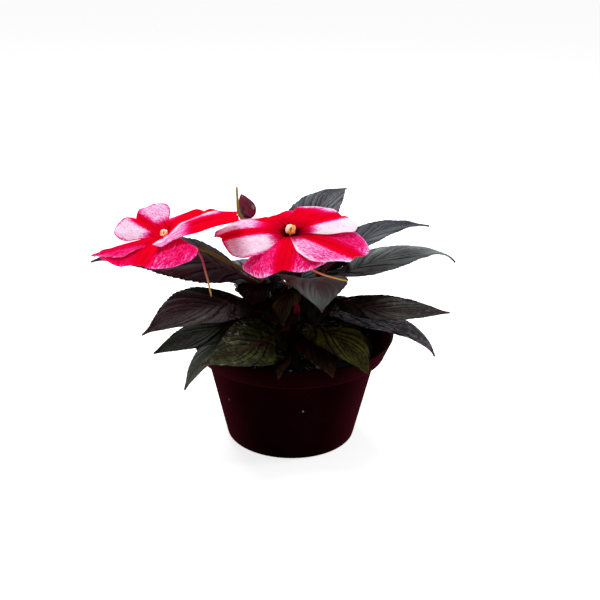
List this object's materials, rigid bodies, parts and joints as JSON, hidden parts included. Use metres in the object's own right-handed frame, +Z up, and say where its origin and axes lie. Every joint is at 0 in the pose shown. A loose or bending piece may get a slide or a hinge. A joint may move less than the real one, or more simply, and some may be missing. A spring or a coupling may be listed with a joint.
{
  "type": "potted busy lizzie",
  "caption": "Potted bushy flowering plant: toothed dark leaves on short stems in soil, broad flat spurred flowers on top, round tapered nursery pot with a rim band.",
  "frame": {"origin": "centre of the flat ring of the pot's base, on the floor plane", "axes": "+Z up along the pot's axis, +Y to the back of the plant, the flowers face up and towards -Y"},
  "size_m": [0.1878, 0.1517, 0.1297],
  "materials": {
    "pot": "thin smooth dark maroon-brown plastic, soft sheen",
    "soil": "black crumbly potting soil with white grains, fully matt",
    "stem": "smooth fleshy reddish stem",
    "leaf_dark": "blackish grey-green leaf with a satin sheen and a red midrib",
    "leaf_olive": "olive green leaf with a satin sheen, quilted",
    "leaf_young": "small maroon leaf, satin",
    "petal": "velvety petal, red stripes, pink and white flecks",
    "anther": "cream anther cap",
    "stalk": "smooth olive-brown flower stalk",
    "spur": "smooth orange-pink spur",
    "bud": "smooth dark maroon bud"
  },
  "bodies": {
    "root": {"pot": "pot", "soil": "soil", "stem_left": "stem", "stem_right": "stem", "stem_front": "stem", "stem_back": "stem", "leaf_left_1": "leaf_dark", "leaf_left_2": "leaf_dark", "leaf_left_3": "leaf_dark", "leaf_left_4": "leaf_dark", "leaf_left_5": "leaf_olive", "leaf_right_1": "leaf_dark", "leaf_right_2": "leaf_dark", "leaf_right_3": "leaf_dark", "leaf_right_4": "leaf_dark", "leaf_right_5": "leaf_dark", "leaf_front_1": "leaf_dark", "leaf_front_2": "leaf_olive", "leaf_front_3": "leaf_olive", "leaf_front_4": "leaf_olive", "leaf_young_1": "leaf_young", "leaf_young_2": "leaf_young", "leaf_young_3": "leaf_young", "leaf_young_4": "leaf_young", "leaf_back_1": "leaf_dark", "leaf_back_2": "leaf_dark", "leaf_back_3": "leaf_olive", "leaf_back_4": "leaf_dark", "leaf_back_5": "leaf_olive", "leaf_back_6": "leaf_olive", "leaf_back_7": "leaf_olive", "leaf_back_8": "leaf_dark", "leaf_back_9": "leaf_dark", "leaf_young_5": "leaf_young", "leaf_young_6": "leaf_young", "leaf_young_7": "leaf_dark", "leaf_inner_1": "leaf_olive", "leaf_inner_2": "leaf_olive", "flower_right_petals": "petal", "flower_right_anther_cap": "anther", "flower_right_spur": "spur", "flower_right_stalk": "stalk", "flower_left_petals": "petal", "flower_left_anther_cap": "anther", "flower_left_spur": "spur", "flower_left_stalk": "stalk", "bud": "bud", "bud_spur": "spur", "bud_stalk": "stalk"}
  },
  "joints": []
}
